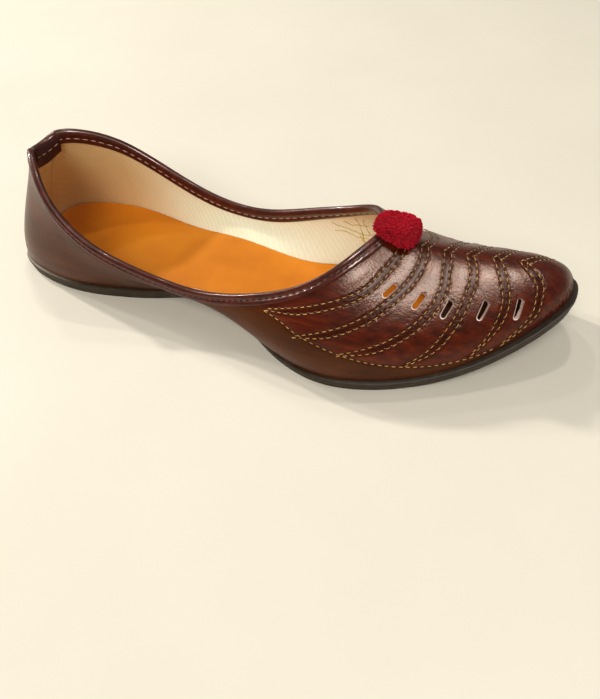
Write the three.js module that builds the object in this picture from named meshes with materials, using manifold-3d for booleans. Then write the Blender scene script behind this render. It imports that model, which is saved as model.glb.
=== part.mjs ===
// Right-foot jutti: a low slip-on shoe with a pointed, turned-up toe and a pompom on the throat.
// Millimetres. +X runs from heel to toe, +Z is up, -Y is the outer side of the foot.
import * as THREE from "three";
import Module from "manifold-3d";

const wasm = await Module();
wasm.setup();

// Leather and fit
const WALL = 1.8;
const GAP = 0.3;
const RIBS = 84;
const RIB_STEPS = 12;
const NEARBY = 1e-3;
const WALK_STEPS = 60;
const LEVEL_POWER = 6;

// The toe swings to the inner side from mid foot on.
const TOE_SWING = 24.4;
const SWING_START = 125;
const SWING_RUN = 125;

// Sole seen from the side
const TOE_SPRING = 18.0;
const SPRING_START = 185;
const SPRING_RUN = 65;
const SPRING_POWER = 2.03;
const TOE_THICKEN = 1.4;
const ARCH_LIFT = 3.5;
const ARCH_START = 66;
const ARCH_RUN = 74;
const HEEL_THICK = 5.6;
const FORE_THICK = 4.3;
const THIN_START = 55;
const THIN_RUN = 60;
const WELT_THICK = 1.7;
const WELT_STEP = 0.5;
const SOLE_TAPER = 0.3;
const SOLE_ROUND = 0.3;

// Sections from the back seam to the toe, one row per rib of the upper.
// collar: where the rib starts; feather: where it meets the sole; turn: heading in plan, degrees.
// reach and drop shape the rib below the collar; flare and rise shape it above the sole.
// lip: width of the sole's ledge.
const COLUMNS = [
  "collarX", "collarHalf", "collarZ", "featherX", "outerHalf", "innerHalf",
  "turn", "reach", "drop", "flare", "rise", "lip",
];
const SECTIONS = [
  [11.7, 0.0, 56.0, -3.0, 0.0, 0.0, 180, 1.9, 17.2, 2.6, 15.5, 1.2],
  [12.6, 7.6, 56.4, -3.2, 15.4, 14.2, 162, 4.9, 15.5, 0.2, 14.3, 1.2],
  [18.3, 12.9, 57.3, 5.3, 27.1, 26.1, 125, 3.1, 13.9, 0.9, 14.3, 1.1],
  [33.0, 28.4, 47.9, 36.6, 32.4, 31.6, 100, 0.3, 13.8, 2.9, 12.0, 1.0],
  [55.0, 33.4, 32.1, 61.9, 26.0, 25.5, 92, 0.7, 10.7, 3.9, 9.2, 1.2],
  [80.8, 31.0, 23.4, 86.7, 19.0, 21.8, 90, 0.7, 7.3, 7.4, 7.3, 0.3],
  [106.6, 31.4, 20.7, 111.7, 14.8, 19.8, 90, 1.1, 6.1, 13.0, 5.5, -0.4],
  [130.1, 31.9, 28.5, 139.7, 34.8, 23.9, 85, 4.5, 7.0, 7.5, 8.5, 0.2],
  [151.8, 29.3, 35.5, 166.7, 44.2, 34.2, 78, 9.3, 7.7, 3.1, 14.2, 1.6],
  [164.5, 22.4, 43.4, 192.5, 38.5, 36.1, 62, 13.4, 10.7, 2.3, 15.8, 1.8],
  [170.4, 12.4, 46.7, 220.1, 29.9, 27.4, 45, 15.8, 16.2, 0.8, 14.7, 2.0],
  [173.7, 5.2, 47.5, 244.8, 9.6, 15.9, 25, 17.7, 18.0, 2.9, 20.1, 3.2],
  [175.0, 0.0, 49.0, 247.3, 0.0, 0.0, 0, 20.7, 12.9, -0.5, 26.8, 2.4],
];
const ODD_COLUMNS = ["collarHalf", "outerHalf", "innerHalf"];

// The collar dips between two corners at the back of the heel.
const BACK_DIP = 1.2;
const BACK_CORNER = 0.1;

// Slits on each side of the vamp, from the rib share and depth of the low end to those of the high end.
const SLIT_WIDTH = 2.4;
const SLIT_OVERCUT = 3.0;
const SLIT_END_POINTS = 7;
const SLITS = [
  { lowRib: 0.816, lowDepth: 0.292, highRib: 0.857, highDepth: 0.260 },
  { lowRib: 0.833, lowDepth: 0.423, highRib: 0.870, highDepth: 0.372 },
  { lowRib: 0.844, lowDepth: 0.545, highRib: 0.877, highDepth: 0.480 },
  { lowRib: 0.864, lowDepth: 0.662, highRib: 0.894, highDepth: 0.590 },
  { lowRib: 0.884, lowDepth: 0.795, highRib: 0.912, highDepth: 0.698 },
];

// Collar binding and heel tab
const BINDING_THICK = 0.6;
const BINDING_OUTSIDE = 4.5;
const BINDING_INSIDE = 6.0;
const CROWN_SHOULDER = 0.8;
const TAB_START = 0.2;
const TAB_HALF = 9.5;
const TAB_DEPTH = 9.4;
const TAB_THICK = 0.8;
const TAB_COLUMNS = 10;
const TAB_ROWS = 4;

// Insole sock
const SOCK_HEEL = 3.6;
const SOCK_FORE = 1.6;
const SOCK_THIN_START = 60;
const SOCK_THIN_RUN = 90;
const SOCK_EDGE = 0.7;
const SOCK_HIGHEST = 0.7;
const SOCK_STEP = 0.01;

// Pompom
const POMPOM_AHEAD = 5.5;
const POMPOM_LIFT = 0.4;
const POMPOM_LONG = 7.6;
const POMPOM_WIDE = 6.0;
const POMPOM_TALL = 5.2;
const POMPOM_LUMP = 0.035;
const LUMP_WAVES = [{ round: 5, down: 3 }, { round: -4, down: 7 }];
const POMPOM_SEGMENTS = 16;
const POMPOM_ROWS = 10;
const LOCKS = 36;
const LOCK_SPREAD = 1.45;
const LOCK_LENGTH = 0.77;
const LOCK_VARY = 0.33;
const LOCK_VARY_TURN = 3.1;
const LOCK_RADIUS = 2.2;
const LOCK_TAPER = 0.6;
const LOCK_SIDES = 5;
const FORM_DEPTH = 5.0;

const smooth = (t) => {
  const s = Math.min(1, Math.max(0, t));
  return s * s * (3 - 2 * s);
};

// Smooth value of one column at a share u of the way from the back seam to the toe.
function column(name, u) {
  const k = COLUMNS.indexOf(name);
  const last = SECTIONS.length - 1;
  const row = (i) => {
    if (i >= 0 && i <= last) return SECTIONS[i][k];
    const edge = i < 0 ? 0 : last;
    const inner = i < 0 ? 1 : last - 1;
    if (name === "turn") return 2 * SECTIONS[edge][k] - SECTIONS[inner][k];
    return ODD_COLUMNS.includes(name) ? -SECTIONS[inner][k] : SECTIONS[inner][k];
  };
  const t = Math.min(1, Math.max(0, u)) * last;
  const i = Math.min(Math.floor(t), last - 1);
  const f = t - i;
  const before = (1 - f) ** 3 * row(i - 1);
  const here = (3 * f ** 3 - 6 * f ** 2 + 4) * row(i);
  const next = (-3 * f ** 3 + 3 * f ** 2 + 3 * f + 1) * row(i + 1);
  return (before + here + next + f ** 3 * row(i + 2)) / 6;
}

const midline = (x) => TOE_SWING * Math.max(0, (x - SWING_START) / SWING_RUN) ** 2;

const toeLift = (x) => Math.max(0, (x - SPRING_START) / SPRING_RUN) ** SPRING_POWER;

// Height of the underside of the sole: flat heel and tread, lifted waist, sprung toe.
function soleUnder(x) {
  const arch = Math.min(1, Math.max(0, (x - ARCH_START) / ARCH_RUN));
  return TOE_SPRING * toeLift(x) + ARCH_LIFT * Math.sin(Math.PI * arch) ** 2;
}

function soleTop(x) {
  const thinned = (HEEL_THICK - FORE_THICK) * smooth((x - THIN_START) / THIN_RUN);
  return soleUnder(x) + HEEL_THICK - thinned + TOE_THICKEN * toeLift(x);
}

// Around the shoe: 0 is the back seam, 0 to 1 the outer side, 1 the toe, 1 to 2 the inner side.
function station(around) {
  const a = ((around % 2) + 2) % 2;
  return a <= 1 ? { u: a, side: -1 } : { u: 2 - a, side: 1 };
}

// The four points that shape one rib, and the width of the ledge under it.
function rib(around) {
  const { u, side } = station(around);
  const at = (name) => column(name, u);
  const heading = THREE.MathUtils.degToRad(at("turn"));
  const out = new THREE.Vector3(Math.cos(heading), side * Math.sin(heading), 0);
  const half = at(side < 0 ? "outerHalf" : "innerHalf");
  const collarX = at("collarX");
  const featherX = at("featherX");
  const collarZ = at("collarZ") - BACK_DIP * Math.max(0, 1 - (u / BACK_CORNER) ** 2);
  const collar = new THREE.Vector3(collarX, midline(collarX) + side * at("collarHalf"), collarZ);
  const feather = new THREE.Vector3(featherX, midline(featherX) + side * half, soleTop(featherX) + GAP);
  const upper = collar.clone().addScaledVector(out, at("reach"));
  upper.z -= at("drop");
  const lower = feather.clone().addScaledVector(out, at("flare"));
  lower.z += at("rise");
  return { collar, upper, lower, feather, lip: at("lip") };
}

// Outside of the upper: along a rib from the collar (depth 0) to the feather line (depth 1).
function surface(around, depth) {
  const r = rib(around);
  const d = depth;
  const c = 1 - d;
  return new THREE.Vector3()
    .addScaledVector(r.collar, c ** 3)
    .addScaledVector(r.upper, 3 * c * c * d)
    .addScaledVector(r.lower, 3 * c * d * d)
    .addScaledVector(r.feather, d ** 3);
}

// Outward direction, made level toward the feather line so that the lower edge lies flat on the sole.
function outward(around, depth) {
  const along = surface(around + NEARBY, depth).sub(surface(around - NEARBY, depth));
  const down = surface(around, depth + NEARBY).sub(surface(around, depth - NEARBY));
  const n = down.cross(along).normalize();
  n.z *= 1 - Math.max(0, depth) ** LEVEL_POWER;
  return n.normalize();
}

// A point at an offset from the outside of the upper; the lower edge keeps its height over the sole.
function wallPoint(around, depth, offset) {
  const p = surface(around, depth).addScaledVector(outward(around, depth), offset);
  if (depth === 1) p.z = soleTop(p.x) + GAP;
  return p;
}

// A point at a distance below the collar edge, measured along the rib; negative distances are above the edge.
function nearCollar(around, below, offset) {
  if (below <= 0) {
    const start = surface(around, 0);
    const down = surface(around, NEARBY).sub(start).normalize();
    return start.addScaledVector(down, below).addScaledVector(outward(around, 0), offset);
  }
  let walked = 0;
  let previous = surface(around, 0);
  for (let i = 1; i <= WALK_STEPS; i++) {
    const here = surface(around, i / WALK_STEPS);
    const leg = here.distanceTo(previous);
    if (walked + leg >= below) {
      const depth = (i - 1 + (below - walked) / leg) / WALK_STEPS;
      return surface(around, depth).addScaledVector(outward(around, depth), offset);
    }
    walked += leg;
    previous = here;
  }
  return wallPoint(around, 1, offset);
}

// Level direction square to the feather line, pointing out.
function featherOut(around) {
  const along = rib(around + NEARBY).feather.sub(rib(around - NEARBY).feather);
  return new THREE.Vector3(along.y, -along.x, 0).normalize();
}

function solid(points, faces) {
  const at = (i) => points[i];
  let volume = 0;
  for (const [a, b, c] of faces) volume += at(a).dot(at(b).clone().cross(at(c)));
  const sides = volume < 0 ? faces.map(([a, b, c]) => [a, c, b]) : faces;
  const mesh = new wasm.Mesh({
    numProp: 3,
    vertProperties: new Float32Array(points.flatMap((p) => [p.x, p.y, p.z])),
    triVerts: new Uint32Array(sides.flat()),
  });
  return new wasm.Manifold(mesh);
}

// A closed section carried all the way round the shoe.
function loop(count, section) {
  const rings = Array.from({ length: count }, (_, i) => section((2 * i) / count));
  const size = rings[0].length;
  const id = (i, k) => (i % count) * size + (k % size);
  const faces = [];
  for (let i = 0; i < count; i++) {
    for (let k = 0; k < size; k++) {
      faces.push([id(i, k), id(i + 1, k), id(i + 1, k + 1)]);
      faces.push([id(i, k), id(i + 1, k + 1), id(i, k + 1)]);
    }
  }
  return solid(rings.flat(), faces);
}

// A plate with stacked outlines; the faces are ruled straight across the shoe.
function plate(count, levels) {
  const rings = levels.map((level) => Array.from({ length: count }, (_, i) => level((2 * i) / count)));
  const id = (r, i) => r * count + (i % count);
  const faces = [];
  for (let r = 0; r + 1 < rings.length; r++) {
    for (let i = 0; i < count; i++) {
      faces.push([id(r, i), id(r, i + 1), id(r + 1, i + 1)]);
      faces.push([id(r, i), id(r + 1, i + 1), id(r + 1, i)]);
    }
  }
  const cap = (r, flip) => {
    const mirror = (i) => (count - i) % count;
    const put = (a, b, c) => faces.push(flip ? [a, c, b] : [a, b, c]);
    for (let i = 0; i < count / 2; i++) {
      if (i + 1 < count / 2) put(id(r, i + 1), id(r, i), id(r, mirror(i + 1)));
      else put(id(r, i + 1), id(r, i), id(r, mirror(i)));
      if (i > 0 && i + 1 < count / 2) put(id(r, i), id(r, mirror(i)), id(r, mirror(i + 1)));
    }
  };
  cap(0, false);
  cap(rings.length - 1, true);
  return solid(rings.flat(), faces);
}

// A bent panel between two skins.
function panel(columns, rows, skin) {
  const points = [];
  const faces = [];
  for (let k = 0; k < 2; k++) {
    for (let i = 0; i <= columns; i++) {
      for (let j = 0; j <= rows; j++) points.push(skin(i / columns, j / rows, k));
    }
  }
  const id = (i, j, k) => (k * (columns + 1) + i) * (rows + 1) + j;
  const quad = (a, b, c, d) => faces.push([a, b, c], [a, c, d]);
  for (let i = 0; i < columns; i++) {
    for (let j = 0; j < rows; j++) {
      quad(id(i, j, 0), id(i + 1, j, 0), id(i + 1, j + 1, 0), id(i, j + 1, 0));
      quad(id(i, j, 1), id(i, j + 1, 1), id(i + 1, j + 1, 1), id(i + 1, j, 1));
    }
    quad(id(i, 0, 0), id(i, 0, 1), id(i + 1, 0, 1), id(i + 1, 0, 0));
    quad(id(i, rows, 0), id(i + 1, rows, 0), id(i + 1, rows, 1), id(i, rows, 1));
  }
  for (let j = 0; j < rows; j++) {
    quad(id(0, j, 0), id(0, j + 1, 0), id(0, j + 1, 1), id(0, j, 1));
    quad(id(columns, j, 0), id(columns, j, 1), id(columns, j + 1, 1), id(columns, j + 1, 0));
  }
  return solid(points, faces);
}

// A straight prism on a flat outline, used for the slits and the pompom's locks.
function prism(outline, foot, tip, taper) {
  const low = outline.map((p) => p.clone().add(foot));
  const high = outline.map((p) => p.clone().multiplyScalar(taper).add(tip));
  const points = [...low, ...high];
  const n = outline.length;
  const faces = [];
  for (let i = 0; i < n; i++) {
    const j = (i + 1) % n;
    faces.push([i, j, n + j], [i, n + j, n + i]);
    if (i > 0 && j > 0) faces.push([0, j, i], [n, n + i, n + j]);
  }
  return solid(points, faces);
}

// Upper: one lasted shell, open at the collar and underneath.
const depths = Array.from({ length: RIB_STEPS + 1 }, (_, j) => j / RIB_STEPS);
const shellSection = (outer, inner) => (around) => [
  ...depths.map((d) => wallPoint(around, d, outer)),
  ...depths.toReversed().map((d) => wallPoint(around, d, -inner)),
];
let upper = loop(RIBS, shellSection(0, WALL));

// One slit: a stadium pushed through the wall.
function slitCutter(slit, side) {
  const around = (u) => (side < 0 ? u : 2 - u);
  const low = surface(around(slit.lowRib), slit.lowDepth);
  const high = surface(around(slit.highRib), slit.highDepth);
  const middleRib = around((slit.lowRib + slit.highRib) / 2);
  const middleDepth = (slit.lowDepth + slit.highDepth) / 2;
  const centre = surface(middleRib, middleDepth);
  const through = outward(middleRib, middleDepth);
  const along = high.clone().sub(low);
  along.addScaledVector(through, -along.dot(through)).normalize();
  const across = through.clone().cross(along);
  const straight = high.distanceTo(low) / 2 - SLIT_WIDTH / 2;
  const outline = Array.from({ length: 2 * SLIT_END_POINTS }, (_, i) => {
    const end = i < SLIT_END_POINTS ? 1 : -1;
    const turn = -Math.PI / 2 + (Math.PI * (i % SLIT_END_POINTS)) / (SLIT_END_POINTS - 1);
    const x = end * (straight + (SLIT_WIDTH / 2) * Math.cos(turn));
    const y = end * (SLIT_WIDTH / 2) * Math.sin(turn);
    return along.clone().multiplyScalar(x).addScaledVector(across, y);
  });
  const foot = centre.clone().addScaledVector(through, -WALL - SLIT_OVERCUT);
  const tip = centre.clone().addScaledVector(through, SLIT_OVERCUT);
  return prism(outline, foot, tip, 1);
}
for (const slit of SLITS) {
  upper = upper.subtract(slitCutter(slit, -1)).subtract(slitCutter(slit, 1));
}

// Outsole: rubber unit with a ledge under the upper, a step in its side and flat heel and tread.
function soleRing(inset, drop) {
  return (around) => {
    const r = rib(around);
    const p = r.feather.clone().addScaledVector(featherOut(around), r.lip - inset);
    p.z = drop === null ? soleUnder(p.x) : soleTop(p.x) - drop;
    return p;
  };
}
const outsole = plate(RIBS, [
  soleRing(SOLE_ROUND, 0),
  soleRing(0, SOLE_ROUND),
  soleRing(0, WELT_THICK),
  soleRing(WELT_STEP, WELT_THICK),
  soleRing(WELT_STEP + SOLE_TAPER, null),
]);

// Insole sock: a padded sheet on the sole, clear of the wall all round.
const sockThick = (x) => SOCK_HEEL - (SOCK_HEEL - SOCK_FORE) * smooth((x - SOCK_THIN_START) / SOCK_THIN_RUN);
function sockRing(high) {
  return (around) => {
    const level = (x) => soleTop(x) + GAP + (high ? sockThick(x) : 0);
    let depth = 1;
    if (high) {
      const top = level(rib(around).feather.x);
      while (depth > SOCK_HIGHEST && wallPoint(around, depth, -WALL).z < top) depth -= SOCK_STEP;
    }
    const p = wallPoint(around, depth, -WALL).addScaledVector(featherOut(around), -SOCK_EDGE);
    p.z = level(p.x);
    return p;
  };
}
const insole = plate(RIBS, [sockRing(true), sockRing(false)]);

// Collar binding: a strip folded over the edge, with a leg outside and a longer one inside.
const bindingSection = (around) => {
  const outerFace = GAP + BINDING_THICK;
  const innerFace = -WALL - GAP - BINDING_THICK;
  const crown = GAP + BINDING_THICK;
  return [
    nearCollar(around, BINDING_OUTSIDE, GAP),
    nearCollar(around, BINDING_OUTSIDE, outerFace),
    nearCollar(around, BINDING_OUTSIDE / 2, outerFace),
    nearCollar(around, 0, outerFace),
    nearCollar(around, -CROWN_SHOULDER * crown, 0),
    nearCollar(around, -crown, -WALL / 2),
    nearCollar(around, -CROWN_SHOULDER * crown, -WALL),
    nearCollar(around, 0, innerFace),
    nearCollar(around, BINDING_INSIDE / 2, innerFace),
    nearCollar(around, BINDING_INSIDE, innerFace),
    nearCollar(around, BINDING_INSIDE, -WALL - GAP),
    nearCollar(around, BINDING_INSIDE / 2, -WALL - GAP),
    nearCollar(around, -GAP, -WALL - GAP),
    nearCollar(around, -GAP, GAP),
    nearCollar(around, BINDING_OUTSIDE / 2, GAP),
  ];
};
const binding = loop(RIBS, bindingSection);

// Heel tab: a patch inside the back seam, over the ends of the binding.
const tabFace = -WALL - GAP - BINDING_THICK - GAP;
let tabShare = 0;
while (rib(tabShare).collar.y > -TAB_HALF) tabShare += NEARBY;
const heelTab = panel(TAB_COLUMNS, TAB_ROWS, (i, j, k) => {
  const around = (2 * i - 1) * tabShare;
  return nearCollar(around, TAB_START + j * TAB_DEPTH, tabFace - k * TAB_THICK);
});

// Pompom: an oblong ball with cut locks standing out of it, hollowed where it sits on the throat.
const middle = surface(1, 0).add(new THREE.Vector3(POMPOM_AHEAD, 0, POMPOM_LIFT));
const ballSize = new THREE.Vector3(POMPOM_LONG, POMPOM_WIDE, POMPOM_TALL);

function ballPoint(theta, phi) {
  const waves = LUMP_WAVES.map((wave) => Math.sin(wave.round * theta + wave.down * phi));
  const lump = 1 + POMPOM_LUMP * (waves[0] + waves[1]);
  const level = Math.sin(phi);
  const dir = new THREE.Vector3(level * Math.sin(theta), level * Math.cos(theta), Math.cos(phi));
  return dir.multiply(ballSize).multiplyScalar(lump).add(middle);
}

function ball(segments, rows) {
  const points = [ballPoint(0, 0)];
  const faces = [];
  for (let j = 1; j < rows; j++) {
    const phi = (Math.PI * j) / rows;
    for (let i = 0; i < segments; i++) points.push(ballPoint((2 * Math.PI * i) / segments, phi));
  }
  const foot = points.push(ballPoint(0, Math.PI)) - 1;
  const id = (i, j) => 1 + (j - 1) * segments + (i % segments);
  for (let i = 0; i < segments; i++) {
    faces.push([0, id(i, 1), id(i + 1, 1)]);
    faces.push([foot, id(i + 1, rows - 1), id(i, rows - 1)]);
    for (let j = 1; j + 1 < rows; j++) {
      faces.push([id(i, j), id(i, j + 1), id(i + 1, j + 1)]);
      faces.push([id(i, j), id(i + 1, j + 1), id(i + 1, j)]);
    }
  }
  return solid(points, faces);
}
let pompom = ball(POMPOM_SEGMENTS, POMPOM_ROWS);
const GOLDEN_TURN = Math.PI * (3 - Math.sqrt(5));
for (let i = 0; i < LOCKS; i++) {
  const height = 1 - (LOCK_SPREAD * (i + 0.5)) / LOCKS;
  const level = Math.sqrt(1 - height * height);
  const theta = i * GOLDEN_TURN;
  const root = new THREE.Vector3(level * Math.cos(theta), level * Math.sin(theta), height).multiply(ballSize);
  const pointing = root.clone().normalize();
  const aside = new THREE.Vector3(0, 0, 1).cross(pointing).normalize();
  const upright = pointing.clone().cross(aside);
  const outline = Array.from({ length: LOCK_SIDES }, (_, k) => {
    const turn = (2 * Math.PI * k) / LOCK_SIDES + i;
    return aside.clone().multiplyScalar(LOCK_RADIUS * Math.cos(turn))
      .addScaledVector(upright, LOCK_RADIUS * Math.sin(turn));
  });
  const start = root.clone().multiplyScalar(LOCK_TAPER).add(middle);
  const length = LOCK_LENGTH + LOCK_VARY * Math.sin(LOCK_VARY_TURN * i);
  const end = root.clone().addScaledVector(pointing, length).add(middle);
  pompom = pompom.add(prism(outline, start, end, LOCK_TAPER));
}
const clearance = GAP + BINDING_THICK + GAP;
const throatForm = loop(RIBS, (around) => [
  nearCollar(around, -clearance, clearance),
  ...depths.slice(1).map((d) => wallPoint(around, d, clearance)),
  ...depths.slice(1).toReversed().map((d) => wallPoint(around, d, -FORM_DEPTH)),
  nearCollar(around, -clearance, -FORM_DEPTH),
]);
pompom = pompom.subtract(throatForm);

// The parts
const shoe = new THREE.Group();
shoe.name = "jutti";
function part(name, body, colour, roughness) {
  const shape = body.getMesh();
  const geometry = new THREE.BufferGeometry();
  geometry.setAttribute("position", new THREE.BufferAttribute(new Float32Array(shape.vertProperties), 3));
  geometry.setIndex(Array.from(shape.triVerts));
  geometry.computeVertexNormals();
  const material = new THREE.MeshStandardMaterial({ color: colour, roughness: roughness });
  const mesh = new THREE.Mesh(geometry, material);
  mesh.name = name;
  shoe.add(mesh);
}
part("outsole", outsole, 0x1c1816, 0.7);
part("upper", upper, 0x4a1f14, 0.35);
part("insole", insole, 0xc26a1c, 0.6);
part("collar_binding", binding, 0x4a1512, 0.4);
part("heel_tab", heelTab, 0x40100f, 0.5);
part("pompom", pompom, 0xa3122a, 0.95);

// The origin is under the middle of the shoe, on the floor.
const extent = new THREE.Box3().setFromObject(shoe);
shoe.position.set(-(extent.min.x + extent.max.x) / 2, -(extent.min.y + extent.max.y) / 2, -extent.min.z);

export default shoe;
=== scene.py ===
import bmesh
import bpy
import numpy as np
from mathutils import Matrix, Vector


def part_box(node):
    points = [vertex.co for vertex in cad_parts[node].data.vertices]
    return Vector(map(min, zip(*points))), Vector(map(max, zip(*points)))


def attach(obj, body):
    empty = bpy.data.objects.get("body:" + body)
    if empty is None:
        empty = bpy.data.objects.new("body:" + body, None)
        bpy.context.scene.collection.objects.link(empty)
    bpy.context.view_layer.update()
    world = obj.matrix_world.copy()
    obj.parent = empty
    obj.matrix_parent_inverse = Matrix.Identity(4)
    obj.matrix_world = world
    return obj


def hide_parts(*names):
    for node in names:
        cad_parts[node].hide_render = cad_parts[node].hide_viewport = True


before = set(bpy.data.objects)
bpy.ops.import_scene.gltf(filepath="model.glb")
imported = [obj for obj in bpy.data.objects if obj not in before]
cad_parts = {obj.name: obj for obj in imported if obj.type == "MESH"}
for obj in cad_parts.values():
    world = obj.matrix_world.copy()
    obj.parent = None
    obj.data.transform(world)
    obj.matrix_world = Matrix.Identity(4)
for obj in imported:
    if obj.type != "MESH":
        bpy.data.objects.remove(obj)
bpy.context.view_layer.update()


# Outsole
# A moulded unit of near-black rubber with a ledge round the upper and a step in its side.
# It is cemented under the lasted upper, flat at heel and tread, lifted at waist and toe.
COLUMNS = [
    "collar_x", "collar_half", "collar_z", "feather_x", "outer_half", "inner_half",
    "turn", "reach", "drop", "flare", "rise", "lip",
]
SECTIONS = np.array([
    [11.7, 0.0, 56.0, -3.0, 0.0, 0.0, 180, 1.9, 17.2, 2.6, 15.5, 1.2],
    [12.6, 7.6, 56.4, -3.2, 15.4, 14.2, 162, 4.9, 15.5, 0.2, 14.3, 1.2],
    [18.3, 12.9, 57.3, 5.3, 27.1, 26.1, 125, 3.1, 13.9, 0.9, 14.3, 1.1],
    [33.0, 28.4, 47.9, 36.6, 32.4, 31.6, 100, 0.3, 13.8, 2.9, 12.0, 1.0],
    [55.0, 33.4, 32.1, 61.9, 26.0, 25.5, 92, 0.7, 10.7, 3.9, 9.2, 1.2],
    [80.8, 31.0, 23.4, 86.7, 19.0, 21.8, 90, 0.7, 7.3, 7.4, 7.3, 0.3],
    [106.6, 31.4, 20.7, 111.7, 14.8, 19.8, 90, 1.1, 6.1, 13.0, 5.5, -0.4],
    [130.1, 31.9, 28.5, 139.7, 34.8, 23.9, 85, 4.5, 7.0, 7.5, 8.5, 0.2],
    [151.8, 29.3, 35.5, 166.7, 44.2, 34.2, 78, 9.3, 7.7, 3.1, 14.2, 1.6],
    [164.5, 22.4, 43.4, 192.5, 38.5, 36.1, 62, 13.4, 10.7, 2.3, 15.8, 1.8],
    [170.4, 12.4, 46.7, 220.1, 29.9, 27.4, 45, 15.8, 16.2, 0.8, 14.7, 2.0],
    [173.7, 5.2, 47.5, 244.8, 9.6, 15.9, 25, 17.7, 18.0, 2.9, 20.1, 3.2],
    [175.0, 0.0, 49.0, 247.3, 0.0, 0.0, 0, 20.7, 12.9, -0.5, 26.8, 2.4],
])
MILLIMETRE = 0.001
TOE_SWING, SWING_START, SWING_RUN = 24.4, 125, 125
TOE_SPRING, SPRING_START, SPRING_RUN, SPRING_POWER, TOE_THICKEN = 18.0, 185, 65, 2.03, 1.4
ARCH_LIFT, ARCH_START, ARCH_RUN = 3.5, 66, 74
HEEL_THICK, FORE_THICK, THIN_START, THIN_RUN = 5.6, 4.3, 55, 60
FIT_GAP = 0.3
NEARBY = 1e-3
WELD_METRES = 2e-6


def ease(t):
    """Rises from 0 to 1 as t does, level at both ends: 3 t squared less 2 t cubed."""
    t = np.clip(t, 0, 1)
    return t * t * (3 - 2 * t)


def section(name, share):
    """One column of the table at a share of the way from back seam to toe: a uniform cubic B-spline
    on its rows, mirrored past both ends, with half widths changing sign there and turn going straight on."""
    rows = SECTIONS[:, COLUMNS.index(name)]
    if name == "turn":
        first, last = 2 * rows[0] - rows[1], 2 * rows[-1] - rows[-2]
    else:
        sign = -1 if name.endswith("half") else 1
        first, last = sign * rows[1], sign * rows[-2]
    rows = np.concatenate([[first], rows, [last]])
    t = np.clip(share, 0, 1) * (len(rows) - 3)
    i = np.minimum(t.astype(int), len(rows) - 4)
    f = t - i
    return ((1 - f) ** 3 * rows[i] + (3 * f ** 3 - 6 * f ** 2 + 4) * rows[i + 1]
            + (-3 * f ** 3 + 3 * f ** 2 + 3 * f + 1) * rows[i + 2] + f ** 3 * rows[i + 3]) / 6


def stack(x, y, z):
    """Three arrays of the same shape as one array of points."""
    return np.stack(np.broadcast_arrays(x, y, z), axis=-1).astype(float)


def midline(x):
    """Middle of the foot in plan: straight from the heel, then inward by the square of the distance."""
    return TOE_SWING * np.clip((x - SWING_START) / SWING_RUN, 0, None) ** 2


def toe_lift(x):
    """Share of the toe spring: a power of the distance past its start."""
    return np.clip((x - SPRING_START) / SPRING_RUN, 0, None) ** SPRING_POWER


def sole_under(x):
    """Underside of the sole: a raised-sine arch under the waist and a power curve up to the toe."""
    arch = np.clip((x - ARCH_START) / ARCH_RUN, 0, 1)
    return TOE_SPRING * toe_lift(x) + ARCH_LIFT * np.sin(np.pi * arch) ** 2


def sole_top(x):
    """Top of the sole: its underside plus a thickness that eases off to the forefoot and grows at the toe."""
    thinned = (HEEL_THICK - FORE_THICK) * ease((x - THIN_START) / THIN_RUN)
    return sole_under(x) + HEEL_THICK - thinned + TOE_THICKEN * toe_lift(x)


def share_and_side(around):
    """Around the shoe, 0 is the back seam, 0 to 1 the outer side, 1 the toe, 1 to 2 the inner side."""
    a = np.mod(around, 2)
    return np.where(a <= 1, a, 2 - a), np.where(a <= 1, -1.0, 1.0)


def feather(around):
    """Line where the upper meets the sole, with the width of the ledge outside it."""
    share, side = share_and_side(around)
    half = np.where(side < 0, section("outer_half", share), section("inner_half", share))
    x = section("feather_x", share)
    return stack(x, midline(x) + side * half, sole_top(x) + FIT_GAP), section("lip", share)


def unit(v):
    """Vectors scaled to length 1."""
    return v / np.maximum(np.linalg.norm(v, axis=-1, keepdims=True), 1e-9)


def feather_out(around):
    """Level direction square to the feather line, pointing out: its run turned a quarter circle."""
    run = feather(around + NEARBY)[0] - feather(around - NEARBY)[0]
    return unit(stack(run[..., 1], -run[..., 0], 0))


toe_tip, toe_lip = feather(np.array(1.0))
ORIGIN = np.array([
    toe_tip[0] + toe_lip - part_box("outsole")[1][0] / MILLIMETRE,
    -(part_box("heel_tab")[0][1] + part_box("heel_tab")[1][1]) / 2 / MILLIMETRE,
    0,
])


def weld_points(mesh):
    """Joins points that lie on each other and turns every face outward."""
    work = bmesh.new()
    work.from_mesh(mesh)
    bmesh.ops.remove_doubles(work, verts=work.verts, dist=WELD_METRES)
    bmesh.ops.recalc_face_normals(work, faces=work.faces)
    work.to_mesh(mesh)
    work.free()


def own_frame(points):
    """Points in the last's millimetres as metres from the shoe's own origin."""
    return (np.asarray(points).reshape(-1, 3) - ORIGIN) * MILLIMETRE


def add_object(name, data):
    """A new object at the scene's origin."""
    made = bpy.data.objects.new(name, data)
    bpy.context.scene.collection.objects.link(made)
    return made


def mesh_piece(name, points, faces, materials, face_material=0, weld=True):
    """A smooth mesh from points in the last's millimetres; welding closes its seams."""
    mesh = bpy.data.meshes.new(name)
    mesh.from_pydata(own_frame(points), [], [list(face) for face in faces])
    for material in materials:
        mesh.materials.append(material)
    inks = np.broadcast_to(face_material, len(mesh.polygons)).astype(np.int32)
    mesh.polygons.foreach_set("material_index", inks)
    mesh.polygons.foreach_set("use_smooth", np.ones(len(mesh.polygons), dtype=bool))
    piece = add_object(name, mesh)
    if weld:
        weld_points(mesh)
    mesh.update()
    return piece


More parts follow.
